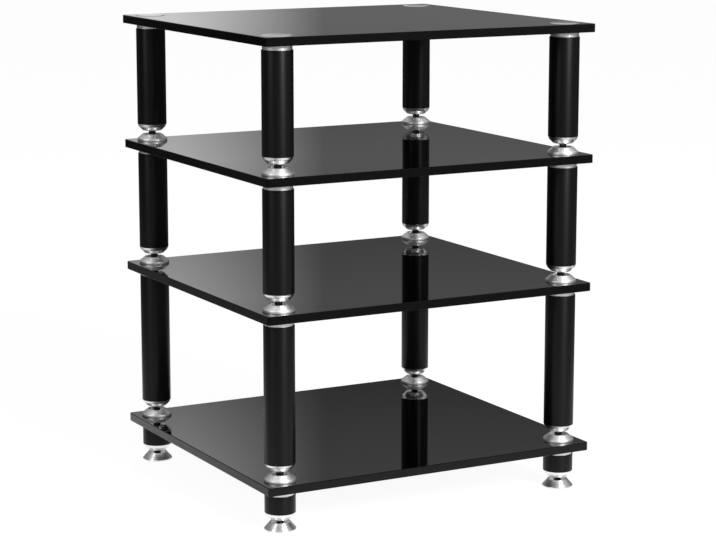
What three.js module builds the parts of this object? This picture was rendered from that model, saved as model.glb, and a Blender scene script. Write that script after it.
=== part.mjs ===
// Audio equipment rack: four black glass shelves, stacked as tiers on spiked columns.
// Millimetres, +Z up. The origin is on the floor under the middle of the shelves,
// +X runs along the width and -Y is the front.

import * as THREE from "three";

// Driving dimensions of the glass shelves
const SHELF_WIDTH = 600;
const SHELF_DEPTH = 560;
const GLASS_THICKNESS = 14;
const SHELF_CORNER_RADIUS = 5;
const GLASS_ARRIS = 1;
const COLUMN_INSET = 37;

// Driving dimensions of the columns, one tube length for each tier, from the floor up
const COLUMN_DIAMETER = 50;
const TUBE_WALL = 3;
const FOOT_TUBE_LENGTH = 29;
const LOWER_TUBE_LENGTH = 222.5;
const UPPER_TUBE_LENGTH = 164;
const TOP_TUBE_LENGTH = 164;
const COLLAR_HEIGHT = 8;
const COLLAR_STEP = 1.5;
const PLUG_DEPTH_SHARE = 0.3;
const SPIGOT_LENGTH_SHARE = 0.5;

// Driving dimensions of the spike cones and their spikes
const CONE_DROP = 14.2;
const SPIKE_DIAMETER = 13;
const SPIKE_POINT_HALF_ANGLE = 45;
const SPIKE_BORE_SHARE = 0.8;
const CONE_TO_DISH_GAP = 3.3;
const CONE_TO_PAD_GAP = 1.6;

// The cone's outline below its band: how far out from the spike to the tube's wall,
// and how far down the cone, each point lies
const CONE_OUTLINE_SHARES = [
  [1, 0.26],
  [0.73, 0.7],
  [0.46, 0.94],
];

// Driving dimensions of the dishes that the spikes stand in, and of the taller, steeper floor pads
const DISH_DIAMETER = 51.5;
const DISH_HEIGHT = 11.5;
const DISH_BAND = 3.8;
const PAD_DIAMETER = 52;
const PAD_HEIGHT = 13.2;
const PAD_BAND = 2.7;
const DISH_RIM_DIAMETER = 33;
const DISH_RIM_WIDTH = 1;
const DISH_FLOOR = 3;

// Driving dimensions of the studs and of the caps on the top shelf
const STUD_DIAMETER = 8;
const CAP_DIAMETER = 50;
const CAP_THICKNESS = 1;
const STUD_GRIP_SHARE = 0.8;

// Clearances
const GLASS_HOLE_CLEARANCE = 1;
const THREAD_CLEARANCE = 0.3;
const SPIGOT_CLEARANCE = 0.3;
const SPIKE_POINT_GAP = 0.3;

// How finely round shapes are cut into facets
const ROUND_SIDES = 18;
const CORNER_SIDES = 3;
const GLASS_HOLE_SIDES = 6;

// Sizes that follow from the driving ones
const columnRadius = COLUMN_DIAMETER / 2;
const boreRadius = columnRadius - TUBE_WALL;
const collarRadius = columnRadius - COLLAR_STEP;
const spigotRadius = boreRadius - SPIGOT_CLEARANCE;
const spikeRadius = SPIKE_DIAMETER / 2;
const spikeBoreRadius = spikeRadius + THREAD_CLEARANCE;
const studRadius = STUD_DIAMETER / 2;
const studBoreRadius = studRadius + THREAD_CLEARANCE;
const glassHoleRadius = studRadius + GLASS_HOLE_CLEARANCE;
const plugDepth = FOOT_TUBE_LENGTH * PLUG_DEPTH_SHARE;
const spigotLength = FOOT_TUBE_LENGTH * SPIGOT_LENGTH_SHARE;
const studGrip = (COLLAR_HEIGHT + plugDepth) * STUD_GRIP_SHARE;
const studLength = GLASS_THICKNESS + studGrip;
const spikeBoreDepth = (CONE_DROP + spigotLength) * SPIKE_BORE_SHARE;
const spikePointHeight = spikeRadius / Math.tan(THREE.MathUtils.degToRad(SPIKE_POINT_HALF_ANGLE));
const spikeSeat = DISH_FLOOR + SPIKE_POINT_GAP;

// Heights of a whole spike joint: from the face that its dish or pad stands on to the tube's end
const dishJointHeight = DISH_HEIGHT + CONE_TO_DISH_GAP + CONE_DROP;
const padJointHeight = PAD_HEIGHT + CONE_TO_PAD_GAP + CONE_DROP;

// The four column places on a shelf
const columnX = SHELF_WIDTH / 2 - COLUMN_INSET;
const columnY = SHELF_DEPTH / 2 - COLUMN_INSET;
const PLACES = [
  { name: "front_left", x: -columnX, y: -columnY },
  { name: "front_right", x: columnX, y: -columnY },
  { name: "back_left", x: -columnX, y: columnY },
  { name: "back_right", x: columnX, y: columnY },
];

// The tiers from the floor up. A tier is a shelf with the columns that carry it.
const TIERS = [
  { name: "base", tubeLength: FOOT_TUBE_LENGTH, jointHeight: padJointHeight },
  { name: "lower", tubeLength: LOWER_TUBE_LENGTH, jointHeight: dishJointHeight },
  { name: "upper", tubeLength: UPPER_TUBE_LENGTH, jointHeight: dishJointHeight },
  { name: "top", tubeLength: TOP_TUBE_LENGTH, jointHeight: dishJointHeight },
];

// Materials

function blackGlass() {
  return new THREE.MeshStandardMaterial({ color: 0x08080a, roughness: 0.04, metalness: 0 });
}

function blackAnodisedAluminium() {
  return new THREE.MeshStandardMaterial({ color: 0x1c1c1e, roughness: 0.42, metalness: 0.6 });
}

function chromedMetal() {
  return new THREE.MeshStandardMaterial({ color: 0xd2d3d6, roughness: 0.12, metalness: 1 });
}

function blackSteel() {
  return new THREE.MeshStandardMaterial({ color: 0x0d0d0e, roughness: 0.5, metalness: 0.7 });
}

// A piece turned on a lathe: its outline is [radius, height] points, revolved about +Z
function turned(outline) {
  const points = outline.map(([radius, height]) => new THREE.Vector2(radius, height));
  const geometry = new THREE.LatheGeometry(points, ROUND_SIDES);
  geometry.rotateX(Math.PI / 2);
  return geometry;
}

// Pieces

// A glass plate with rounded corners, ground edges and a hole over each column.
// Its underside is at height 0.
function glassShelf() {
  const right = SHELF_WIDTH / 2;
  const back = SHELF_DEPTH / 2;
  const radius = SHELF_CORNER_RADIUS;
  const plate = new THREE.Shape();
  plate.moveTo(radius - right, -back);
  plate.lineTo(right - radius, -back);
  plate.absarc(right - radius, radius - back, radius, -Math.PI / 2, 0);
  plate.lineTo(right, back - radius);
  plate.absarc(right - radius, back - radius, radius, 0, Math.PI / 2);
  plate.lineTo(radius - right, back);
  plate.absarc(radius - right, back - radius, radius, Math.PI / 2, Math.PI);
  plate.lineTo(-right, radius - back);
  plate.absarc(radius - right, radius - back, radius, Math.PI, Math.PI * 1.5);
  for (const place of PLACES) {
    plate.holes.push(glassHole(place));
  }
  const geometry = new THREE.ExtrudeGeometry(plate, {
    depth: GLASS_THICKNESS - GLASS_ARRIS * 2,
    curveSegments: CORNER_SIDES,
    bevelEnabled: true,
    bevelThickness: GLASS_ARRIS,
    bevelSize: GLASS_ARRIS,
    bevelOffset: -GLASS_ARRIS,
    bevelSegments: 1,
  });
  geometry.translate(0, 0, GLASS_ARRIS);
  return geometry;
}

function glassHole(place) {
  const corners = [];
  for (let side = 0; side < GLASS_HOLE_SIDES; side += 1) {
    const angle = (side / GLASS_HOLE_SIDES) * Math.PI * 2;
    const x = place.x + glassHoleRadius * Math.cos(angle);
    const y = place.y + glassHoleRadius * Math.sin(angle);
    corners.push(new THREE.Vector2(x, y));
  }
  return new THREE.Path(corners);
}

// A hollow column tube, open below, with its plug pressed into the upper end.
// The plug's collar stands out above the tube, a little slimmer, and carries the glass.
// The tube's lower end is at height 0.
function columnTube(tubeLength) {
  const collarTop = tubeLength + COLLAR_HEIGHT;
  const plugBottom = tubeLength - plugDepth;
  return turned([
    [boreRadius, 0],
    [columnRadius, 0],
    [columnRadius, tubeLength],
    [collarRadius, tubeLength],
    [collarRadius, collarTop],
    [studBoreRadius, collarTop],
    [studBoreRadius, plugBottom],
    [boreRadius, plugBottom],
    [boreRadius, 0],
  ]);
}

// The outside of a spike cone, from its lower end up to the shoulder under the tube.
// The shoulder is at height 0.
function coneOutline(endRadius) {
  const reach = columnRadius - endRadius;
  const outline = CONE_OUTLINE_SHARES.map(([outShare, downShare]) => [
    endRadius + reach * outShare,
    -CONE_DROP * downShare,
  ]);
  outline.reverse();
  return [[endRadius, -CONE_DROP], ...outline, [columnRadius, 0]];
}

// A spike cone with its spike screwed home: spigot up into the tube, point down in the dish
function spikeCone() {
  const pointHeight = spikeSeat - dishJointHeight;
  return turned([
    [0, pointHeight],
    [spikeRadius, pointHeight + spikePointHeight],
    ...coneOutline(spikeRadius),
    [spigotRadius, 0],
    [spigotRadius, spigotLength],
    [0, spigotLength],
  ]);
}

// A spike cone of the lowest tier, with the blind bore that its levelling spike screws into
function spikeHolder() {
  const boreTop = spikeBoreDepth - CONE_DROP;
  return turned([
    [0, boreTop],
    [spikeBoreRadius, boreTop],
    ...coneOutline(spikeBoreRadius),
    [spigotRadius, 0],
    [spigotRadius, spigotLength],
    [0, spigotLength],
  ]);
}

// A levelling spike, screwed in as far as its bore lets it. Its point is at height 0.
function levellingSpike() {
  const coneBottom = padJointHeight - CONE_DROP - spikeSeat;
  const shankTop = coneBottom + spikeBoreDepth - THREAD_CLEARANCE;
  return turned([
    [0, 0],
    [spikeRadius, spikePointHeight],
    [spikeRadius, shankTop],
    [0, shankTop],
  ]);
}

// The outline of a dish or pad from the edge of its foot: an upright band, a sloping side,
// the rim and a conical hollow. The foot is at height 0.
function dishOutline(diameter, height, band) {
  const rimRadius = DISH_RIM_DIAMETER / 2;
  return [
    [diameter / 2, 0],
    [diameter / 2, band],
    [rimRadius, height],
    [rimRadius - DISH_RIM_WIDTH, height],
    [0, DISH_FLOOR],
  ];
}

// A dish that is bolted down on a shelf: its stud passes the glass into the column's plug.
// The dish's underside is at height 0.
function spikeDish() {
  return turned([
    [0, -studLength],
    [studRadius, -studLength],
    [studRadius, 0],
    ...dishOutline(DISH_DIAMETER, DISH_HEIGHT, DISH_BAND),
  ]);
}

// A loose pad that a levelling spike stands in on the floor
function floorPad() {
  return turned([[0, 0], ...dishOutline(PAD_DIAMETER, PAD_HEIGHT, PAD_BAND)]);
}

// The flat cap and stud that hold the top shelf on its column
function shelfCap() {
  const capRadius = CAP_DIAMETER / 2;
  return turned([
    [0, -studLength],
    [studRadius, -studLength],
    [studRadius, 0],
    [capRadius, 0],
    [capRadius, CAP_THICKNESS],
    [0, CAP_THICKNESS],
  ]);
}

// Assembly

function addPiece(group, name, geometry, material, x, y, z) {
  const mesh = new THREE.Mesh(geometry, material);
  mesh.name = name;
  mesh.position.set(x, y, z);
  group.add(mesh);
}

// The columns under a shelf. Heights are counted from the face that the tier stands on.
function addColumns(group, tier) {
  const isBase = tier.name === "base";
  for (const { name, x, y } of PLACES) {
    const tubeBottom = tier.jointHeight;
    const coneName = `${tier.name}_spike_cone_${name}`;
    const coneGeometry = isBase ? spikeHolder() : spikeCone();
    addPiece(group, coneName, coneGeometry, chromedMetal(), x, y, tubeBottom);
    const tubeName = `${tier.name}_column_${name}`;
    addPiece(group, tubeName, columnTube(tier.tubeLength), blackAnodisedAluminium(), x, y, tubeBottom);
  }
}

// What stands on a shelf: dishes for the next tier's spikes, or the caps of the top shelf
function addFittings(group, tier, shelfTop) {
  const isTop = tier.name === "top";
  for (const { name, x, y } of PLACES) {
    const fittingName = isTop ? `top_shelf_cap_${name}` : `${tier.name}_spike_dish_${name}`;
    const fitting = isTop ? shelfCap() : spikeDish();
    addPiece(group, fittingName, fitting, chromedMetal(), x, y, shelfTop);
  }
}

function addTier(rack, tier, standHeight) {
  const group = new THREE.Group();
  group.position.z = standHeight;
  const glassBottom = tier.jointHeight + tier.tubeLength + COLLAR_HEIGHT;
  const glassTop = glassBottom + GLASS_THICKNESS;
  addColumns(group, tier);
  addPiece(group, `${tier.name}_glass_shelf`, glassShelf(), blackGlass(), 0, 0, glassBottom);
  addFittings(group, tier, glassTop);
  rack.add(group);
  return standHeight + glassTop;
}

function addFeet(rack) {
  for (const { name, x, y } of PLACES) {
    addPiece(rack, `floor_pad_${name}`, floorPad(), chromedMetal(), x, y, 0);
    addPiece(rack, `levelling_spike_${name}`, levellingSpike(), blackSteel(), x, y, spikeSeat);
  }
}

function buildRack() {
  const rack = new THREE.Group();
  addFeet(rack);
  let standHeight = 0;
  for (const tier of TIERS) {
    standHeight = addTier(rack, tier, standHeight);
  }
  return rack;
}

export default buildRack();
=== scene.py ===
"""Looks of an audio equipment rack: black glass shelves on spiked columns, made around its packed model."""

import math

import bmesh
import bpy
from bpy.props import FloatProperty, FloatVectorProperty, IntProperty, PointerProperty
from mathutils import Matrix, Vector
from mathutils.geometry import tessellate_polygon


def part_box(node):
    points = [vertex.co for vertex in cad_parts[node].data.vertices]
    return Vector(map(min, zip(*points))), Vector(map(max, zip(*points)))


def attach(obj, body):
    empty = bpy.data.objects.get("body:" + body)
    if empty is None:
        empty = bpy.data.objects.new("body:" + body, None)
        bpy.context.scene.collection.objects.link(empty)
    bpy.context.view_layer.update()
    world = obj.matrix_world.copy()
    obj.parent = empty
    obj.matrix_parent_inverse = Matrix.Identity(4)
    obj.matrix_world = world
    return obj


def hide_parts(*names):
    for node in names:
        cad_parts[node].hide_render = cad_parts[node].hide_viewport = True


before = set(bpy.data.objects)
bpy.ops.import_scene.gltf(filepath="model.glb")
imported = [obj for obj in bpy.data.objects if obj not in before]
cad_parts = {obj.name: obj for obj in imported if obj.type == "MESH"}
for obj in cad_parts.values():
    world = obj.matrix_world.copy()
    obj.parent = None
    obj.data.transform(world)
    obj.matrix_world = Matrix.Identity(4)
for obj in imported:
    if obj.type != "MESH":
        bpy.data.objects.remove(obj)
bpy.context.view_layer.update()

bl_info = {
    "name": "Audio equipment rack",
    "version": (1, 0, 0),
    "blender": (4, 5, 0),
    "location": "3D View > Sidebar > Rack",
    "description": "Makes the shelves, columns, spike joints and studio of an audio equipment rack",
    "category": "Object",
}

TIERS = ("base", "lower", "upper", "top")
PLACES = ("front_left", "front_right", "back_left", "back_right")
MM = 0.001

# Turns the shine of turning marks from along them to across them
QUARTER_TURN = 0.25

# How far out from the bore to the tube's wall, and how far down, the cone's outline turns
CONE_OUTLINE_SHARES = ((0.97, 0.06), (0.91, 0.36), (0.56, 0.9), (0.46, 0.97))

# White as the camera sees it, a touch under 1 so that the floor's own light has room
PAPER_WHITE = 0.94
# What mirrors see of the floor, a painted pool of light: white up to the first reach, painted shade of this
# dark grey beyond the second
LIT_FLOOR_REACH = (0.7, 1.4)
FAR_FLOOR_PAINTED_SHADE = 0.12
# How much of the rack's shadow the seen floor keeps
SHADOW_SHARE = 0.13

FLOOR_RADIUS = 30.0
STAGE_SIDES = 64

# The surround's round wall, its height, and where its middle stands from the rack's
SURROUND_RADIUS = 5.0
SURROUND_HEIGHT = 6.0
SURROUND_SHIFT = (-0.94, -1.77)
# Grey of the surround by heading, in degrees from +Y towards +X
WALL_GREYS = (
    (-180, 0.45), (-110, 0.45), (-75, 0.12), (-40, 0.2), (11, 0.42), (17.5, 0.92), (26.5, 0.18),
    (60, 0.2), (120, 0.45), (180, 0.45),
)
# Slopes, height over distance, at which the low zone gives way to the wall, and the wall to the ceiling
WALL_SLOPES = (0.17, 0.33)
CEILING_SLOPES = (0.6, 1.2)
CEILING_GREY = 0.6
# The low zone's grey in front of the rack and behind it, and the Y between which it changes
LOW_ZONE_GREYS = (0.45, 0.03)
LOW_ZONE_DEPTHS = (-2.5, 0.0)

# Place, width and height of the two lamps, and the height on the rack that they face
KEY_SOFTBOX = ((0.65, -3.7, 2.5), 1.4, 1.5)
SIDE_SOFTBOX = ((-3.9, -0.9, 2.3), 1.4, 1.8)
LAMP_AIM = (0.0, 0.0, 0.4)


# Sizes and colours that a user would change

def srgb(code):
    """A hex colour as the linear values that Blender's sockets take."""
    channels = [int(code[i:i + 2], 16) / 255 for i in (0, 2, 4)]
    return tuple(c / 12.92 if c <= 0.04045 else ((c + 0.055) / 1.055) ** 2.4 for c in channels)


def length(name, description, default):
    """A length in metres, with a millimetre default."""
    return FloatProperty(
        name=name, description=description, default=default * MM,
        min=0.0, unit="LENGTH", subtype="DISTANCE", precision=5,
    )


def share(name, description, default):
    """A share from 0 to 1 or a little over."""
    return FloatProperty(name=name, description=description, default=default, min=0.0, subtype="FACTOR")


def colour(name, description, code):
    """A colour from its sRGB hex value."""
    return FloatVectorProperty(
        name=name, description=description, default=srgb(code), size=3, subtype="COLOR",
    )


class RackShelfSettings(bpy.types.PropertyGroup):
    """Glass shelves"""

    corner_radius: length("Corner radius", "Rounding of the four upright corners", 5.0)
    arris: length("Arris", "Ground-off edge between a face and the rim", 1.0)
    hole_diameter: length("Hole diameter", "Holes that the studs pass through", 10.0)
    face_colour: colour("Glass colour", "Body colour of the black glass", "060606")
    edge_colour: colour("Edge colour", "Colour of the ground and polished rim", "060606")


class RackColumnSettings(bpy.types.PropertyGroup):
    """Column tubes and their collars"""

    wall: length("Tube wall", "Wall of the aluminium tube", 3.0)
    collar_height: length("Collar height", "Height of the bright collar under the glass", 8.0)
    collar_step: length("Collar step", "How much slimmer than the tube the collar is, in radius", 1.5)
    plug_depth: length("Plug depth", "How deep the collar's plug sits in the tube", 8.7)
    stud_bore: length("Stud bore", "Diameter of the threaded hole in the plug", 8.6)
    edge: length("Broken edge", "Rounding of the tube's and collar's turned edges", 0.4)
    tube_colour: colour("Tube colour", "Black dye of the anodised tube", "030303")
    collar_colour: colour("Collar colour", "Chrome of the collar", "f0f0f0")


class RackJointSettings(bpy.types.PropertyGroup):
    """Spike cones and spikes"""

    cone_drop: length("Cone drop", "Height of the cone under the tube", 12.0)
    cone_ease: length("Cone easing", "Rounding where the cone's outline turns", 1.4)
    spigot_length: length("Spigot length", "How deep the cone's spigot sits in the tube", 14.5)
    spigot_gap: length("Spigot gap", "Clearance between spigot and tube", 0.3)
    spike_diameter: length("Spike diameter", "Diameter of the spike's shank", 12.0)
    thread_gap: length("Thread gap", "Clearance round the levelling spike", 0.3)
    edge: length("Broken edge", "Rounding of the cone's turned edges", 0.4)
    cone_colour: colour("Cone colour", "Chrome of the cones", "f2f2f2")
    spike_colour: colour("Spike colour", "Black oxide of the spikes", "0e0e0e")


class RackDishSettings(bpy.types.PropertyGroup):
    """Spike dishes, floor pads and top caps"""

    height: length("Dish height", "Height of a dish above the glass", 11.5)
    band: length("Dish band", "Upright band at the foot of a dish", 3.8)
    pad_height: length("Pad height", "Height of a floor pad", 13.2)
    pad_band: length("Pad band", "Upright band at the foot of a floor pad", 2.7)
    rim_diameter: length("Rim diameter", "Outer diameter of the rim of a dish or pad", 33.0)
    rim_width: length("Rim width", "Flat on top of the rim", 1.0)
    floor: length("Dish floor", "Metal left under the lowest point of the hollow", 3.0)
    cup_depth: length("Cup depth", "Height of the steep wall inside the rim", 4.2)
    cup_slope: length("Cup slope", "How far that wall leans in towards its foot", 1.4)
    stud_diameter: length("Stud diameter", "Stud that passes through the glass", 8.0)
    edge: length("Broken edge", "Rounding of the dish's turned edges", 0.6)
    dish_colour: colour("Dish colour", "Chrome of the dishes and pads", "f0f0f0")
    cap_colour: colour("Cap colour", "Satin chrome of the top caps", "f2f2f2")


class RackStageSettings(bpy.types.PropertyGroup):
    """Camera, lamps, floor and surround"""

    camera_place: FloatVectorProperty(
        name="Camera place", description="Where the camera stands, in metres",
        default=(-1.8139, -3.3554, 1.0608), size=3, subtype="TRANSLATION",
    )
    camera_heading: FloatProperty(
        name="Camera heading", description="Direction of view, from +Y towards +X",
        default=math.radians(28.524), subtype="ANGLE",
    )
    camera_tilt: FloatProperty(
        name="Camera tilt", description="How far the camera looks down",
        default=math.radians(10.469), subtype="ANGLE",
    )
    focal_length: FloatProperty(
        name="Focal length", description="Lens on a 36 mm wide frame", default=114.12, min=1.0,
        unit="CAMERA",
    )
    floor_colour: colour("Floor colour", "Matt white floor", "f2f2f2")
    ambient: share("Ambient light", "Strength of the soft light from all round", 0.3)
    key_strength: FloatProperty(
        name="Key strength", description="Radiance of the softbox in front of the rack",
        default=28.0, min=0.0,
    )
    side_strength: FloatProperty(
        name="Side strength", description="Radiance of the softbox to the left",
        default=5.0, min=0.0,
    )
    round_sides: IntProperty(
        name="Round sides", description="Facets around each turned piece", default=96, min=12,
    )


SETTINGS = {
    "rack_shelf": RackShelfSettings,
    "rack_column": RackColumnSettings,
    "rack_joint": RackJointSettings,
    "rack_dish": RackDishSettings,
    "rack_stage": RackStageSettings,
}


def settings(name):
    """One of the property groups above, as it is set in this scene."""
    return getattr(bpy.context.scene, name)


# Nodes

def add(tree, kind, inputs=None, **options):
    """A node of that kind, with its options set and its inputs given a value or linked from a socket."""
    node = tree.nodes.new(kind)
    for option, value in options.items():
        setattr(node, option, value)
    for socket, value in (inputs or {}).items():
        if isinstance(value, bpy.types.NodeSocket):
            tree.links.new(value, node.inputs[socket])
        else:
            node.inputs[socket].default_value = value
    return node


def new_material(name):
    """An empty node material and its tree."""
    material = bpy.data.materials.new(name)
    material.use_nodes = True
    material.node_tree.nodes.clear()
    return material, material.node_tree


def surface(tree, shader):
    """Ends a material's tree in that shader."""
    add(tree, "ShaderNodeOutputMaterial", {"Surface": shader.outputs[0]})


# Materials

def polished_black_glass():
    """Black float glass, fire-polished: a mirror at a low angle, with only a breath of haze from wiping."""
    material, tree = new_material("polished_black_float_glass")
    place = add(tree, "ShaderNodeTexCoord").outputs["Object"]
    # Wiped haze: soft patches about 90 mm across
    haze = add(tree, "ShaderNodeTexNoise", {
        "Vector": place, "Scale": 11.0, "Detail": 3.0, "Roughness": 0.55,
    })
    rough = add(tree, "ShaderNodeMapRange", {
        "Value": haze.outputs["Fac"], "From Min": 0.35, "From Max": 0.75, "To Min": 0.004, "To Max": 0.02,
    })
    shader = add(tree, "ShaderNodeBsdfPrincipled", {
        "Base Color": (*settings("rack_shelf").face_colour, 1),
        "Roughness": rough.outputs[0],
        "IOR": 1.52,
    })
    surface(tree, shader)
    return material


def ground_glass_edge():
    """The rim of the glass, ground flat and part polished: fine lines run along it and dull its shine."""
    material, tree = new_material("ground_black_glass_edge")
    place = add(tree, "ShaderNodeTexCoord").outputs["Object"]
    # Grinding lines along the rim, 80 mm long, drawn 1 mm apart so that they show
    stretched = add(tree, "ShaderNodeMapping", {"Vector": place, "Scale": (12.0, 12.0, 900.0)})
    lines = add(tree, "ShaderNodeTexNoise", {
        "Vector": stretched.outputs[0], "Scale": 1.0, "Detail": 2.0,
    })
    rough = add(tree, "ShaderNodeMapRange", {
        "Value": lines.outputs["Fac"], "From Min": 0.3, "From Max": 0.7, "To Min": 0.14, "To Max": 0.26,
    })
    grooves = add(tree, "ShaderNodeBump", {
        "Height": lines.outputs["Fac"], "Strength": 0.12, "Distance": 0.2 * MM,
    })
    shader = add(tree, "ShaderNodeBsdfPrincipled", {
        "Base Color": (*settings("rack_shelf").edge_colour, 1),
        "Roughness": rough.outputs[0],
        "IOR": 1.52,
        "Specular IOR Level": 0.2,
        "Normal": grooves.outputs[0],
    })
    surface(tree, shader)
    return material


def satin_black_anodised_aluminium():
    """Turned tube, etched satin and dyed black: its fine turning marks draw highlights out into
    soft upright bands."""
    material, tree = new_material("satin_black_anodised_aluminium")
    turning = add(tree, "ShaderNodeUVMap", uv_map="turning").outputs[0]
    # Turning marks round the tube, 80 mm long, drawn 0.5 mm apart so that they show
    stretched = add(tree, "ShaderNodeMapping", {"Vector": turning, "Scale": (12.0, 2000.0, 1.0)})
    lines = add(tree, "ShaderNodeTexNoise", {"Vector": stretched.outputs[0], "Scale": 1.0, "Detail": 3.0})
    # Etched grain, drawn 0.4 mm wide so that it shows
    place = add(tree, "ShaderNodeTexCoord").outputs["Object"]
    grain = add(tree, "ShaderNodeTexNoise", {"Vector": place, "Scale": 2500.0, "Detail": 2.0})
    both = add(tree, "ShaderNodeMath", {0: lines.outputs["Fac"], 1: grain.outputs["Fac"]}, operation="ADD")
    rough = add(tree, "ShaderNodeMapRange", {
        "Value": both.outputs[0], "From Min": 0.7, "From Max": 1.3, "To Min": 0.36, "To Max": 0.42,
    })
    relief = add(tree, "ShaderNodeBump", {
        "Height": both.outputs[0], "Strength": 0.1, "Distance": 0.1 * MM,
    })
    around = add(tree, "ShaderNodeTangent", direction_type="UV_MAP", uv_map="turning")
    shader = add(tree, "ShaderNodeBsdfPrincipled", {
        "Base Color": (*settings("rack_column").tube_colour, 1),
        "Roughness": rough.outputs[0],
        "IOR": 1.5,
        "Specular IOR Level": 0.19,
        "Anisotropic": 0.6,
        "Anisotropic Rotation": QUARTER_TURN,
        "Normal": relief.outputs[0],
        "Tangent": around.outputs[0],
    })
    surface(tree, shader)
    return material


def turned_metal(name, base_colour, ring_pitch, roughness, relief_strength, stretch):
    """A metal turned on a lathe: rings round its axis between two roughnesses, drawn ring_pitch
    apart, coarser than a tool leaves them, so that they show. They stretch what it mirrors along
    its outline, so highlights fan out as wedges."""
    material, tree = new_material(name)
    turning = add(tree, "ShaderNodeUVMap", uv_map="turning").outputs[0]
    stretched = add(tree, "ShaderNodeMapping", {"Vector": turning, "Scale": (30.0, 1 / ring_pitch, 1.0)})
    rings = add(tree, "ShaderNodeTexNoise", {"Vector": stretched.outputs[0], "Scale": 1.0, "Detail": 2.0})
    rough = add(tree, "ShaderNodeMapRange", {
        "Value": rings.outputs["Fac"], "From Min": 0.3, "From Max": 0.7,
        "To Min": roughness[0], "To Max": roughness[1],
    })
    relief = add(tree, "ShaderNodeBump", {
        "Height": rings.outputs["Fac"], "Strength": relief_strength, "Distance": 0.1 * MM,
    })
    around = add(tree, "ShaderNodeTangent", direction_type="UV_MAP", uv_map="turning")
    shader = add(tree, "ShaderNodeBsdfPrincipled", {
        "Base Color": (*base_colour, 1),
        "Metallic": 1.0,
        "Roughness": rough.outputs[0],
        "Anisotropic": stretch,
        "Anisotropic Rotation": QUARTER_TURN,
        "Normal": relief.outputs[0],
        "Tangent": around.outputs[0],
    })
    surface(tree, shader)
    return material


def bright_chrome(base_colour):
    """Turned steel, buffed and chromed: bright and nearly a mirror, with the faintest turning rings
    left."""
    return turned_metal(
        "turned_bright_chrome", base_colour,
        ring_pitch=0.9 * MM, roughness=(0.25, 0.33), relief_strength=0.12, stretch=0.78,
    )


def ringed_chrome(base_colour):
    """Turned with a pointed tool before chroming: its rings spread the light, so it looks satin
    and pale."""
    return turned_metal(
        "ringed_satin_chrome", base_colour,
        ring_pitch=1.4 * MM, roughness=(0.42, 0.52), relief_strength=0.5, stretch=0.4,
    )


def satin_chrome(base_colour):
    """Faced flat and blasted before chroming: an even pale grey, without a crisp mirror image."""
    return turned_metal(
        "faced_satin_chrome", base_colour,
        ring_pitch=0.5 * MM, roughness=(0.24, 0.3), relief_strength=0.04, stretch=0.0,
    )


def black_oxide_steel():
    """Turned steel, blackened in salts: dark, a little oily, with fine rings on shank and point."""
    material, tree = new_material("black_oxide_steel")
    turning = add(tree, "ShaderNodeUVMap", uv_map="turning").outputs[0]
    # Turning rings, drawn 0.4 mm apart so that they show
    stretched = add(tree, "ShaderNodeMapping", {"Vector": turning, "Scale": (40.0, 2500.0, 1.0)})
    rings = add(tree, "ShaderNodeTexNoise", {"Vector": stretched.outputs[0], "Scale": 1.0, "Detail": 2.0})
    rough = add(tree, "ShaderNodeMapRange", {
        "Value": rings.outputs["Fac"], "From Min": 0.3, "From Max": 0.7, "To Min": 0.3, "To Max": 0.42,
    })
    shader = add(tree, "ShaderNodeBsdfPrincipled", {
        "Base Color": (*settings("rack_joint").spike_colour, 1),
        "Roughness": rough.outputs[0],
        "IOR": 1.5,
    })
    surface(tree, shader)
    return material


# Meshes

def eased(points, steps=4):
    """An outline whose corners are rounded: a point's third value, where it has one, is its rounding."""
    outline = []
    for index, point in enumerate(points):
        here = Vector(point[:2])
        ease = point[2] if len(point) > 2 else 0.0
        if not ease:
            outline.append(tuple(here))
            continue
        before = Vector(points[index - 1][:2]) - here
        after = Vector(points[index + 1][:2]) - here
        reach = min(ease, before.length / 2, after.length / 2)
        start = here + before.normalized() * reach
        end = here + after.normalized() * reach
        for step in range(steps + 1):
            t = step / steps
            outline.append(tuple(start * (1 - t) ** 2 + here * (2 * t * (1 - t)) + end * t ** 2))
    return outline


def turned(name, outline, sides):
    """A closed mesh turned about +Z from (radius, height) points. Its UV map holds lengths in metres:
    round the piece, and along the outline. The outline ends on the axis or where it began."""
    lengths = [0.0]
    for (r0, z0), (r1, z1) in zip(outline, outline[1:]):
        lengths.append(lengths[-1] + math.hypot(r1 - r0, z1 - z0))
    widest = max(radius for radius, _ in outline)
    angles = [2 * math.pi * side / sides for side in range(sides)]
    bm = bmesh.new()
    turning = bm.loops.layers.uv.new("turning")
    rings = []
    for radius, height in outline:
        if radius == 0.0:
            rings.append([bm.verts.new((0.0, 0.0, height))] * sides)
        else:
            points = [(radius * math.cos(a), radius * math.sin(a), height) for a in angles]
            rings.append([bm.verts.new(point) for point in points])
    if outline[0] == outline[-1] and outline[0][0] > 0.0:
        for vertex in rings[-1]:
            bm.verts.remove(vertex)
        rings[-1] = rings[0]
    for row in range(len(outline) - 1):
        for side in range(sides):
            turn = (side + 1) % sides
            corners = [
                (rings[row][side], side, row),
                (rings[row][turn], side + 1, row),
                (rings[row + 1][turn], side + 1, row + 1),
                (rings[row + 1][side], side, row + 1),
            ]
            face_corners = [c for i, c in enumerate(corners) if c[0] is not corners[i - 1][0]]
            face = bm.faces.new([vertex for vertex, _, _ in face_corners])
            for loop, (_, u, v) in zip(face.loops, face_corners):
                loop[turning].uv = (2 * math.pi * u / sides * widest, lengths[v])
    bmesh.ops.recalc_face_normals(bm, faces=bm.faces)
    mesh = bpy.data.meshes.new(name)
    bm.to_mesh(mesh)
    bm.free()
    return mesh


def shade(mesh, sharp_angle=32.0):
    """Smooth shading with the real edges kept sharp."""
    mesh.shade_smooth()
    mesh.set_sharp_from_angle(angle=math.radians(sharp_angle))


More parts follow.
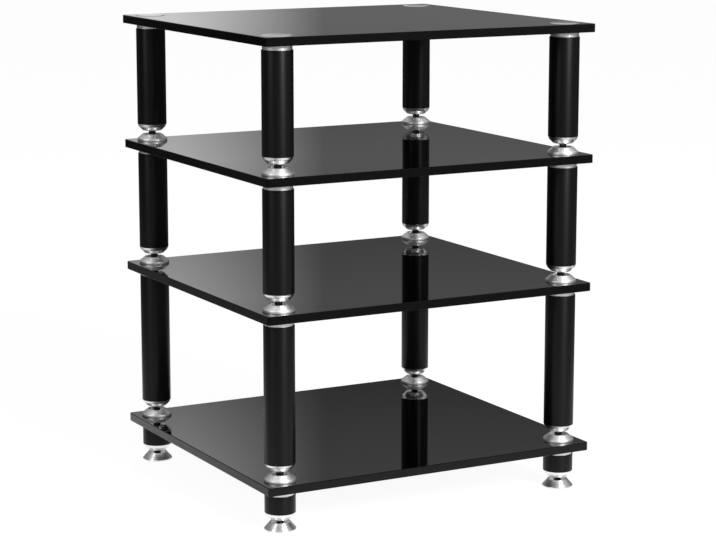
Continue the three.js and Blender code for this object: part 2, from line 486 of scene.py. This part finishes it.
def new_object(name, mesh):
    """An object at the origin that holds the mesh."""
    piece = bpy.data.objects.new(name, mesh)
    bpy.context.scene.collection.objects.link(piece)
    return piece


def lifted(outline, height):
    """The outline, moved up by that height."""
    return [(radius, z + height) for radius, z in outline]


# Places and sizes, read from the frame

def middle(node):
    """The middle of a node's box."""
    low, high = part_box(node)
    return (low + high) / 2


def radius_of(node):
    """The radius of a turned node about its upright axis."""
    low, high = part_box(node)
    return max(high.x - low.x, high.y - low.y) / 2


def column_spacing():
    """How far apart the column axes are, along X and Y."""
    across = middle("base_column_front_right").x - middle("base_column_front_left").x
    along = middle("base_column_back_left").y - middle("base_column_front_left").y
    return across, along


def tube_span(tier):
    """The heights of a tube's lower and upper end."""
    low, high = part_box(f"{tier}_column_front_left")
    return low.z, high.z - settings("rack_column").collar_height


def glass_span(tier):
    """The heights of a shelf's underside and top."""
    low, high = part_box(f"{tier}_glass_shelf")
    return low.z, high.z


def nodes_of(pattern):
    """The four nodes with that name, one at each column place."""
    return [pattern.format(place) for place in PLACES]


# Geometry Nodes: a turned piece stood at the four column places

def column_places_tree():
    """A node group that stands copies of its geometry at the corners of a grid, gives them a material
    and makes them one real mesh."""
    tree = bpy.data.node_groups.new("stand_at_column_places", "GeometryNodeTree")
    tree.interface.new_socket("Geometry", in_out="INPUT", socket_type="NodeSocketGeometry")
    for name in ("Spacing X", "Spacing Y"):
        tree.interface.new_socket(name, in_out="INPUT", socket_type="NodeSocketFloat")
    tree.interface.new_socket("Material", in_out="INPUT", socket_type="NodeSocketMaterial")
    tree.interface.new_socket("Geometry", in_out="OUTPUT", socket_type="NodeSocketGeometry")
    given = add(tree, "NodeGroupInput").outputs
    grid = add(tree, "GeometryNodeMeshGrid", {
        "Size X": given["Spacing X"], "Size Y": given["Spacing Y"], "Vertices X": 2, "Vertices Y": 2,
    })
    copies = add(tree, "GeometryNodeInstanceOnPoints", {
        "Points": grid.outputs["Mesh"], "Instance": given["Geometry"],
    })
    real = add(tree, "GeometryNodeRealizeInstances", {"Geometry": copies.outputs[0]})
    painted = add(tree, "GeometryNodeSetMaterial", {
        "Geometry": real.outputs[0], "Material": given["Material"],
    })
    add(tree, "NodeGroupOutput", {"Geometry": painted.outputs[0]})
    return tree


def at_four_columns(name, mesh, material):
    """One object with the mesh stood at all four column places, as a plain mesh."""
    tree = bpy.data.node_groups.get("stand_at_column_places") or column_places_tree()
    sockets = {item.name: item.identifier for item in tree.interface.items_tree if item.in_out == "INPUT"}
    across, along = column_spacing()
    piece = new_object(name, mesh)
    modifier = piece.modifiers.new("Four columns", "NODES")
    modifier.node_group = tree
    modifier[sockets["Spacing X"]] = across
    modifier[sockets["Spacing Y"]] = along
    modifier[sockets["Material"]] = material
    depsgraph = bpy.context.evaluated_depsgraph_get()
    made = bpy.data.meshes.new_from_object(
        piece.evaluated_get(depsgraph), preserve_all_data_layers=True, depsgraph=depsgraph,
    )
    made.name = name
    piece.modifiers.clear()
    piece.data = made
    bpy.data.meshes.remove(mesh)
    shade(made)
    return piece


def at_one_column(name, mesh, material, place):
    """One object with the mesh stood on the axis of one column."""
    axis = middle(f"base_column_{place}")
    for vertex in mesh.vertices:
        vertex.co.x += axis.x
        vertex.co.y += axis.y
    mesh.materials.append(material)
    shade(mesh)
    return new_object(name, mesh)


def finish_piece(piece, body, nodes):
    """The piece rides on its body and stands for those nodes, which it hides."""
    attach(piece, body)
    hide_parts(*nodes)


def body_of_tier(tier):
    """The name of the body that a tier's pieces ride on."""
    return f"{tier}_tier"


# Glass shelves

def rounded_rectangle(half_width, half_depth, radius, steps=8):
    """Corner points of a rectangle with rounded corners, anticlockwise from the right."""
    corners = ((1, 1), (-1, 1), (-1, -1), (1, -1))
    points = []
    for quarter, (side_x, side_y) in enumerate(corners):
        for step in range(steps + 1):
            angle = (quarter + step / steps) * math.pi / 2
            points.append((
                side_x * (half_width - radius) + radius * math.cos(angle),
                side_y * (half_depth - radius) + radius * math.sin(angle),
            ))
    return points


def circle(x, y, radius, sides=32):
    """Points of a circle, anticlockwise."""
    angles = [2 * math.pi * side / sides for side in range(sides)]
    return [(x + radius * math.cos(a), y + radius * math.sin(a)) for a in angles]


def rim_profile(bottom, top, arris, steps=3):
    """(inset, height) points round a ground edge, from the underside to the top face."""
    points = []
    for step in range(steps + 1):
        angle = step / steps * math.pi / 2
        points.append((arris * (1 - math.sin(angle)), bottom + arris * (1 - math.cos(angle))))
    for step in range(steps + 1):
        angle = step / steps * math.pi / 2
        points.append((arris * (1 - math.cos(angle)), top - arris * (1 - math.sin(angle))))
    return points


def glass_plate(name, tier):
    """A plate with rounded corners, ground arrises and a hole over each column."""
    shelf = settings("rack_shelf")
    low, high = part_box(f"{tier}_glass_shelf")
    half_width = (high.x - low.x) / 2
    half_depth = (high.y - low.y) / 2
    holes = [middle(f"base_column_{place}") for place in PLACES]
    profile = rim_profile(low.z, high.z, shelf.arris)
    bm = bmesh.new()

    def loop(inset, height, hole=None):
        if hole is None:
            points = rounded_rectangle(half_width - inset, half_depth - inset, shelf.corner_radius - inset)
        else:
            points = circle(hole.x, hole.y, shelf.hole_diameter / 2 + inset)
        return [bm.verts.new((x, y, height)) for x, y in points]

    walls = []
    for hole in (None, *holes):
        loops = [loop(inset, height, hole) for inset, height in profile]
        walls.append(loops)
        for lower, upper in zip(loops, loops[1:]):
            for index in range(len(lower)):
                turn = (index + 1) % len(lower)
                face = bm.faces.new((lower[index], lower[turn], upper[turn], upper[index]))
                face.material_index = 1
    for end in (0, -1):
        edges = [loops[end] for loops in walls]
        vertices = [vertex for edge in edges for vertex in edge]
        for triangle in tessellate_polygon([[vertex.co for vertex in edge] for edge in edges]):
            bm.faces.new([vertices[index] for index in triangle])
    bmesh.ops.recalc_face_normals(bm, faces=bm.faces)
    mesh = bpy.data.meshes.new(name)
    bm.to_mesh(mesh)
    bm.free()
    return mesh


def make_glass_shelves():
    """The four shelves, each a plate of black glass with a ground rim."""
    face = polished_black_glass()
    edge = ground_glass_edge()
    for tier in TIERS:
        mesh = glass_plate(f"{tier}_shelf_glass", tier)
        mesh.materials.append(face)
        mesh.materials.append(edge)
        shade(mesh, sharp_angle=12.0)
        piece = new_object(f"{tier}_shelf_glass", mesh)
        finish_piece(piece, body_of_tier(tier), [f"{tier}_glass_shelf"])


# Columns

def make_tubes():
    """The sixteen tubes: hollow, with broken edges, four to a tier."""
    column = settings("rack_column")
    finish = satin_black_anodised_aluminium()
    for tier in TIERS:
        radius = radius_of(f"{tier}_column_front_left")
        bore = radius - column.wall
        bottom, top = tube_span(tier)
        half = (bottom + top) / 2
        outline = eased([
            (bore, half), (bore, bottom, column.edge), (radius, bottom, column.edge),
            (radius, top, column.edge), (bore, top, column.edge), (bore, half),
        ])
        mesh = turned(f"{tier}_tubes", outline, settings("rack_stage").round_sides)
        piece = at_four_columns(f"{tier}_tubes", mesh, finish)
        nodes = nodes_of(f"{tier}_column_{{}}")
        finish_piece(piece, body_of_tier(tier), nodes)


def make_collars():
    """The sixteen collars under the glass, each with its plug pressed into the tube's upper end."""
    column = settings("rack_column")
    finish = ringed_chrome(column.collar_colour)
    for tier in TIERS:
        radius = radius_of(f"{tier}_column_front_left")
        plug = radius - column.wall
        bore = column.stud_bore / 2
        shoulder = tube_span(tier)[1]
        top = shoulder + column.collar_height
        bottom = shoulder - column.plug_depth
        collar = radius - column.collar_step
        outline = eased([
            (bore, shoulder), (bore, bottom, column.edge), (plug, bottom, column.edge), (plug, shoulder),
            (collar, shoulder, column.edge), (collar, top, column.edge), (bore, top, column.edge),
            (bore, shoulder),
        ])
        mesh = turned(f"{tier}_collars", outline, settings("rack_stage").round_sides)
        piece = at_four_columns(f"{tier}_collars", mesh, finish)
        finish_piece(piece, body_of_tier(tier), nodes_of(f"{tier}_column_{{}}"))


# Spike joints

def cone_side(radius, end_radius):
    """The outside of a cone, from its shoulder at height 0 down to its lower end: a band, then a
    full curve that rounds in to the spike."""
    joint = settings("rack_joint")
    reach = radius - end_radius
    turns = [
        (end_radius + reach * out, -joint.cone_drop * down, joint.cone_ease)
        for out, down in CONE_OUTLINE_SHARES
    ]
    return [(radius, 0.0, joint.edge), *turns, (end_radius, -joint.cone_drop)]


def make_cones():
    """The sixteen spike cones: spigot up in the tube, bright cone below it, bored for the spike."""
    joint = settings("rack_joint")
    column = settings("rack_column")
    finish = bright_chrome(joint.cone_colour)
    for tier in TIERS:
        radius = radius_of(f"{tier}_column_front_left")
        spigot = radius - column.wall - joint.spigot_gap
        bore = joint.spike_diameter / 2 + joint.thread_gap
        shoulder = tube_span(tier)[0]
        roof = levelling_span(PLACES[0])[1] - tube_span("base")[0] + joint.thread_gap
        outline = eased([
            (0.0, joint.spigot_length), (spigot, joint.spigot_length, joint.edge), (spigot, 0.0),
            *cone_side(radius, bore), (bore, roof), (0.0, roof),
        ])
        mesh = turned(f"{tier}_cones", lifted(outline, shoulder), settings("rack_stage").round_sides)
        piece = at_four_columns(f"{tier}_cones", mesh, finish)
        finish_piece(piece, body_of_tier(tier), nodes_of(f"{tier}_spike_cone_{{}}"))


def spike_outline(point, shank_top):
    """A spike from its point up: a 45 degree point with a blunted tip, then the shank."""
    radius = settings("rack_joint").spike_diameter / 2
    ease = settings("rack_joint").edge
    return eased([
        (0.0, point), (ease, point + ease), (radius, point + radius, ease),
        (radius, shank_top, ease), (0.0, shank_top),
    ])


def levelling_span(place):
    """The heights of a levelling spike's point and of its upper end."""
    low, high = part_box(f"levelling_spike_{place}")
    return low.z, high.z


def make_spikes():
    """The twelve spikes of the upper tiers, screwed home in their cones."""
    finish = black_oxide_steel()
    shank = levelling_span(PLACES[0])[1] - tube_span("base")[0]
    for tier in TIERS[1:]:
        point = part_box(f"{tier}_spike_cone_front_left")[0].z
        top = tube_span(tier)[0] + shank
        mesh = turned(f"{tier}_spikes", spike_outline(point, top), settings("rack_stage").round_sides)
        piece = at_four_columns(f"{tier}_spikes", mesh, finish)
        finish_piece(piece, body_of_tier(tier), nodes_of(f"{tier}_spike_cone_{{}}"))


def make_levelling_spikes():
    """The four spikes at the floor, each on its own body."""
    finish = black_oxide_steel()
    for place in PLACES:
        name = f"levelling_spike_fine_{place}"
        mesh = turned(name, spike_outline(*levelling_span(place)), settings("rack_stage").round_sides)
        piece = at_one_column(name, mesh, finish, place)
        finish_piece(piece, f"foot_spike_{place}", [f"levelling_spike_{place}"])


# Dishes, pads and caps

def dish_side(radius, foot, height, band):
    """The outside and the hollow of a dish or pad, from the edge of its foot to the axis."""
    dish = settings("rack_dish")
    rim = dish.rim_diameter / 2
    return [
        (radius, foot, dish.edge), (radius, foot + band, dish.edge),
        (rim, foot + height, dish.edge), (rim - dish.rim_width, foot + height, dish.edge),
        (rim - dish.rim_width - dish.cup_slope, foot + height - dish.cup_depth, dish.edge),
        (dish.edge, foot + dish.floor + dish.edge / 2), (0.0, foot + dish.floor),
    ]


def make_dishes():
    """The twelve dishes, each with the stud that goes through the glass into the column's plug."""
    dish = settings("rack_dish")
    finish = ringed_chrome(dish.dish_colour)
    stud = dish.stud_diameter / 2
    for tier in TIERS[:-1]:
        node = f"{tier}_spike_dish_front_left"
        foot = glass_span(tier)[1]
        stud_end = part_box(node)[0].z
        outline = eased([
            (0.0, stud_end), (stud, stud_end, dish.edge), (stud, foot),
            *dish_side(radius_of(node), foot, dish.height, dish.band),
        ])
        mesh = turned(f"{tier}_dishes", outline, settings("rack_stage").round_sides)
        piece = at_four_columns(f"{tier}_dishes", mesh, finish)
        finish_piece(piece, body_of_tier(tier), nodes_of(f"{tier}_spike_dish_{{}}"))


def make_floor_pads():
    """The four loose pads on the floor, each on its own body."""
    dish = settings("rack_dish")
    finish = bright_chrome(dish.dish_colour)
    for place in PLACES:
        node = f"floor_pad_{place}"
        name = f"floor_pad_fine_{place}"
        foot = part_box(node)[0].z
        outline = eased([(0.0, foot), *dish_side(radius_of(node), foot, dish.pad_height, dish.pad_band)])
        mesh = turned(name, outline, settings("rack_stage").round_sides)
        piece = at_one_column(name, mesh, finish, place)
        finish_piece(piece, f"foot_pad_{place}", [node])


def make_caps():
    """The four flat caps that hold the top shelf, each with its stud."""
    dish = settings("rack_dish")
    node = "top_shelf_cap_front_left"
    radius = radius_of(node)
    stud = dish.stud_diameter / 2
    low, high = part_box(node)
    foot = glass_span("top")[1]
    chamfer = 2 * (high.z - foot)
    outline = eased([
        (0.0, low.z), (stud, low.z, dish.edge), (stud, foot), (radius, foot),
        (radius - chamfer, high.z, dish.edge / 4), (0.0, high.z),
    ])
    mesh = turned("top_caps", outline, settings("rack_stage").round_sides)
    piece = at_four_columns("top_caps", mesh, satin_chrome(dish.cap_colour))
    finish_piece(piece, body_of_tier("top"), nodes_of("top_shelf_cap_{}"))


# Stage

def seen_directly_or_mirrored(tree):
    """1 for a ray from the camera or from a mirror or glass, 0 for one that carries soft light."""
    path = add(tree, "ShaderNodeLightPath").outputs
    mirrored = add(tree, "ShaderNodeMath", {
        0: path["Is Glossy Ray"], 1: path["Is Transmission Ray"],
    }, operation="MAXIMUM")
    seen = add(tree, "ShaderNodeMath", {
        0: path["Is Camera Ray"], 1: mirrored.outputs[0],
    }, operation="MAXIMUM")
    return seen.outputs[0]


def white_floor():
    """Matt white paper, its tooth drawn 2.5 mm wide so that it shows: the camera sees it white, with the
    rack's soft shadow, and mirrors see a painted pool of light on it, white near the rack and painted shade
    of dark grey further out."""
    material, tree = new_material("matt_white_studio_paper")
    place = add(tree, "ShaderNodeTexCoord").outputs["Object"]
    tooth = add(tree, "ShaderNodeTexNoise", {"Vector": place, "Scale": 400.0, "Detail": 2.0})
    relief = add(tree, "ShaderNodeBump", {
        "Height": tooth.outputs["Fac"], "Strength": 0.05, "Distance": 0.2 * MM,
    })
    paper = add(tree, "ShaderNodeBsdfDiffuse", {
        "Color": (*settings("rack_stage").floor_colour, 1), "Normal": relief.outputs[0],
    })
    shadowed = add(tree, "ShaderNodeBsdfDiffuse", {
        "Color": (SHADOW_SHARE, SHADOW_SHARE, SHADOW_SHARE, 1), "Normal": relief.outputs[0],
    })
    # Painted pool of light that only mirrors see: white near the rack, painted shade further out
    reach = add(tree, "ShaderNodeVectorMath", {0: place}, operation="LENGTH")
    lit = add(tree, "ShaderNodeMapRange", {
        "Value": reach.outputs["Value"],
        "From Min": LIT_FLOOR_REACH[0], "From Max": LIT_FLOOR_REACH[1],
        "To Min": PAPER_WHITE, "To Max": FAR_FLOOR_PAINTED_SHADE,
    }, interpolation_type="SMOOTHSTEP")
    camera_ray = add(tree, "ShaderNodeLightPath").outputs["Is Camera Ray"]
    strength = add(tree, "ShaderNodeMix", {"Factor": camera_ray, "A": lit.outputs[0], "B": PAPER_WHITE})
    glow = add(tree, "ShaderNodeEmission", {"Color": (1, 1, 1, 1), "Strength": strength.outputs[0]})
    seen = add(tree, "ShaderNodeAddShader", {0: shadowed.outputs[0], 1: glow.outputs[0]})
    mixed = add(tree, "ShaderNodeMixShader", {
        0: seen_directly_or_mirrored(tree), 1: paper.outputs[0], 2: seen.outputs[0],
    })
    surface(tree, mixed)
    return material


def make_floor():
    """A round white floor under the rack, wide enough to meet the background out of sight."""
    bm = bmesh.new()
    bmesh.ops.create_circle(bm, cap_ends=True, radius=FLOOR_RADIUS, segments=STAGE_SIDES)
    mesh = bpy.data.meshes.new("studio_floor")
    bm.to_mesh(mesh)
    bm.free()
    mesh.materials.append(white_floor())
    new_object("studio_floor", mesh)


def surround_glow():
    """What black glass and chrome mirror round the set: a low zone, grey in front of the rack and
    nearly black behind it, above it a wall that turns pale behind the rack's left side, and a soft
    ceiling."""
    material, tree = new_material("studio_surround")
    place = add(tree, "ShaderNodeTexCoord").outputs["Object"]
    axes = add(tree, "ShaderNodeSeparateXYZ", {"Vector": place}).outputs
    heading = add(tree, "ShaderNodeMath", {0: axes["X"], 1: axes["Y"]}, operation="ARCTAN2")
    turn = add(tree, "ShaderNodeMath", {
        0: heading.outputs[0], 1: 1 / (2 * math.pi), 2: 0.5,
    }, operation="MULTIPLY_ADD")
    ring = add(tree, "ShaderNodeValToRGB", {"Fac": turn.outputs[0]})
    ramp = ring.color_ramp
    while len(ramp.elements) < len(WALL_GREYS):
        ramp.elements.new(0.5)
    for element, (degrees, grey) in zip(ramp.elements, WALL_GREYS):
        element.position = degrees / 360 + 0.5
        element.color = (grey, grey, grey, 1)
    flat = add(tree, "ShaderNodeVectorMath", {0: place, 1: (1.0, 1.0, 0.0)}, operation="MULTIPLY")
    reach = add(tree, "ShaderNodeVectorMath", {0: flat.outputs[0]}, operation="LENGTH")
    slope = add(tree, "ShaderNodeMath", {0: axes["Z"], 1: reach.outputs["Value"]}, operation="DIVIDE")
    lift = add(tree, "ShaderNodeMapRange", {
        "Value": slope.outputs[0], "From Min": WALL_SLOPES[0], "From Max": WALL_SLOPES[1],
    })
    low = add(tree, "ShaderNodeMapRange", {
        "Value": axes["Y"],
        "From Min": LOW_ZONE_DEPTHS[0], "From Max": LOW_ZONE_DEPTHS[1],
        "To Min": LOW_ZONE_GREYS[0], "To Max": LOW_ZONE_GREYS[1],
    })
    side = add(tree, "ShaderNodeMix", {
        "Factor": lift.outputs[0], "A": low.outputs[0], "B": ring.outputs[0],
    })
    ceiling = add(tree, "ShaderNodeMapRange", {
        "Value": slope.outputs[0], "From Min": CEILING_SLOPES[0], "From Max": CEILING_SLOPES[1],
    }, interpolation_type="SMOOTHSTEP")
    level = add(tree, "ShaderNodeMix", {
        "Factor": ceiling.outputs[0], "A": side.outputs[0], "B": CEILING_GREY,
    })
    glow = add(tree, "ShaderNodeEmission", {"Strength": level.outputs[0]})
    surface(tree, glow)
    return material


def make_surround():
    """A surround that only mirrors see: a round wall that stands 3 m behind the rack, and a ceiling."""
    outline = [(SURROUND_RADIUS, 0.0), (SURROUND_RADIUS, SURROUND_HEIGHT), (0.0, SURROUND_HEIGHT)]
    mesh = turned("studio_surround", outline, STAGE_SIDES)
    for vertex in mesh.vertices:
        vertex.co.x += SURROUND_SHIFT[0]
        vertex.co.y += SURROUND_SHIFT[1]
    mesh.materials.append(surround_glow())
    surround = new_object("studio_surround", mesh)
    for ray in ("camera", "diffuse", "shadow", "volume_scatter"):
        setattr(surround, f"visible_{ray}", False)


def add_softbox(name, radiance, place, width, height):
    """A soft rectangular lamp that faces the rack, out of the camera's sight. Blender spreads a
    lamp's energy over four times its area."""
    lamp = bpy.data.lights.new(name, "AREA")
    lamp.shape = "RECTANGLE"
    lamp.size = width
    lamp.size_y = height
    lamp.energy = radiance * 4 * width * height
    softbox = bpy.data.objects.new(name, lamp)
    softbox.location = place
    aim = Vector(LAMP_AIM) - Vector(place)
    softbox.rotation_euler = aim.to_track_quat("-Z", "Y").to_euler()
    softbox.visible_camera = False
    bpy.context.scene.collection.objects.link(softbox)
    return softbox


def keep_off_shelves(softbox):
    """Keeps a lamp's image out of the black shelves and flat caps, as a polarising filter does in
    a studio."""
    spared = bpy.data.collections.new(f"spared_by_{softbox.name}")
    for name in (*(f"{tier}_shelf_glass" for tier in TIERS), "top_caps"):
        spared.objects.link(bpy.data.objects[name])
    for entry in spared.collection_objects:
        entry.light_linking.link_state = "EXCLUDE"
    softbox.light_linking.receiver_collection = spared


def make_world():
    """Plain white where it is seen or mirrored, and much weaker where it only lights the rack."""
    world = bpy.data.worlds.new("studio")
    world.use_nodes = True
    tree = world.node_tree
    tree.nodes.clear()
    ambient = settings("rack_stage").ambient
    strength = add(tree, "ShaderNodeMapRange", {
        "Value": seen_directly_or_mirrored(tree), "To Min": ambient, "To Max": 1.0,
    })
    light = add(tree, "ShaderNodeBackground", {"Color": (1, 1, 1, 1), "Strength": strength.outputs[0]})
    add(tree, "ShaderNodeOutputWorld", {"Surface": light.outputs[0]})
    bpy.context.scene.world = world


def make_camera():
    """The camera at the photograph's viewing angle."""
    stage = settings("rack_stage")
    lens = bpy.data.cameras.new("camera")
    lens.sensor_width = 36.0
    lens.lens = stage.focal_length
    lens.clip_end = 100.0
    camera = bpy.data.objects.new("camera", lens)
    camera.location = stage.camera_place
    camera.rotation_euler = (math.pi / 2 - stage.camera_tilt, 0.0, -stage.camera_heading)
    bpy.context.scene.collection.objects.link(camera)
    bpy.context.scene.camera = camera


def make_stage():
    """Floor, surround, lamps, background and camera."""
    make_floor()
    make_surround()
    make_world()
    stage = settings("rack_stage")
    keep_off_shelves(add_softbox("key_softbox", stage.key_strength, *KEY_SOFTBOX))
    keep_off_shelves(add_softbox("side_softbox", stage.side_strength, *SIDE_SOFTBOX))
    make_camera()
    bpy.context.scene.view_settings.view_transform = "Standard"


# Operators

class RACK_OT_glass_shelves(bpy.types.Operator):
    """Make the four black glass shelves"""

    bl_idname = "rack.glass_shelves"
    bl_label = "Glass shelves"
    bl_options = {"REGISTER", "UNDO"}

    def execute(self, context):
        make_glass_shelves()
        return {"FINISHED"}


class RACK_OT_tubes(bpy.types.Operator):
    """Make the sixteen black column tubes"""

    bl_idname = "rack.tubes"
    bl_label = "Column tubes"
    bl_options = {"REGISTER", "UNDO"}

    def execute(self, context):
        make_tubes()
        return {"FINISHED"}


class RACK_OT_collars(bpy.types.Operator):
    """Make the sixteen bright collars under the glass"""

    bl_idname = "rack.collars"
    bl_label = "Collars"
    bl_options = {"REGISTER", "UNDO"}

    def execute(self, context):
        make_collars()
        return {"FINISHED"}


class RACK_OT_cones(bpy.types.Operator):
    """Make the sixteen spike cones"""

    bl_idname = "rack.cones"
    bl_label = "Spike cones"
    bl_options = {"REGISTER", "UNDO"}

    def execute(self, context):
        make_cones()
        return {"FINISHED"}


class RACK_OT_spikes(bpy.types.Operator):
    """Make the twelve spikes of the upper tiers"""

    bl_idname = "rack.spikes"
    bl_label = "Spikes"
    bl_options = {"REGISTER", "UNDO"}

    def execute(self, context):
        make_spikes()
        return {"FINISHED"}


class RACK_OT_levelling_spikes(bpy.types.Operator):
    """Make the four levelling spikes at the floor"""

    bl_idname = "rack.levelling_spikes"
    bl_label = "Levelling spikes"
    bl_options = {"REGISTER", "UNDO"}

    def execute(self, context):
        make_levelling_spikes()
        return {"FINISHED"}


class RACK_OT_dishes(bpy.types.Operator):
    """Make the twelve dishes that the spikes stand in"""

    bl_idname = "rack.dishes"
    bl_label = "Spike dishes"
    bl_options = {"REGISTER", "UNDO"}

    def execute(self, context):
        make_dishes()
        return {"FINISHED"}


class RACK_OT_floor_pads(bpy.types.Operator):
    """Make the four floor pads"""

    bl_idname = "rack.floor_pads"
    bl_label = "Floor pads"
    bl_options = {"REGISTER", "UNDO"}

    def execute(self, context):
        make_floor_pads()
        return {"FINISHED"}


class RACK_OT_caps(bpy.types.Operator):
    """Make the four caps on the top shelf"""

    bl_idname = "rack.caps"
    bl_label = "Top caps"
    bl_options = {"REGISTER", "UNDO"}

    def execute(self, context):
        make_caps()
        return {"FINISHED"}


class RACK_OT_stage(bpy.types.Operator):
    """Make the floor, surround, lamps and camera"""

    bl_idname = "rack.stage"
    bl_label = "Stage"
    bl_options = {"REGISTER", "UNDO"}

    def execute(self, context):
        make_stage()
        return {"FINISHED"}


OPERATORS = (
    RACK_OT_glass_shelves,
    RACK_OT_tubes,
    RACK_OT_collars,
    RACK_OT_cones,
    RACK_OT_spikes,
    RACK_OT_levelling_spikes,
    RACK_OT_dishes,
    RACK_OT_floor_pads,
    RACK_OT_caps,
    RACK_OT_stage,
)


class RACK_PT_sidebar(bpy.types.Panel):
    """The rack's pieces and sizes in the 3D view's sidebar"""

    bl_idname = "RACK_PT_sidebar"
    bl_label = "Audio equipment rack"
    bl_space_type = "VIEW_3D"
    bl_region_type = "UI"
    bl_category = "Rack"

    def draw(self, context):
        for operator in OPERATORS:
            self.layout.operator(operator.bl_idname)
        for name, group in SETTINGS.items():
            box = self.layout.box()
            box.label(text=group.__doc__)
            for setting in group.__annotations__:
                box.prop(getattr(context.scene, name), setting)


def register():
    for group in SETTINGS.values():
        bpy.utils.register_class(group)
    for operator in OPERATORS:
        bpy.utils.register_class(operator)
    bpy.utils.register_class(RACK_PT_sidebar)
    for name, group in SETTINGS.items():
        setattr(bpy.types.Scene, name, PointerProperty(type=group))


def unregister():
    for name in SETTINGS:
        delattr(bpy.types.Scene, name)
    bpy.utils.unregister_class(RACK_PT_sidebar)
    for operator in reversed(OPERATORS):
        bpy.utils.unregister_class(operator)
    for group in reversed(SETTINGS.values()):
        bpy.utils.unregister_class(group)


def corners(bounds):
    """The lowest and highest corner of a box, as plain lists."""
    return [[float(value) for value in corner] for corner in bounds]


def main():
    """Makes every piece and the stage."""
    register()
    for operator in OPERATORS:
        group, name = operator.bl_idname.split(".")
        getattr(getattr(bpy.ops, group), name)()


if __name__ == "__main__":
    main()
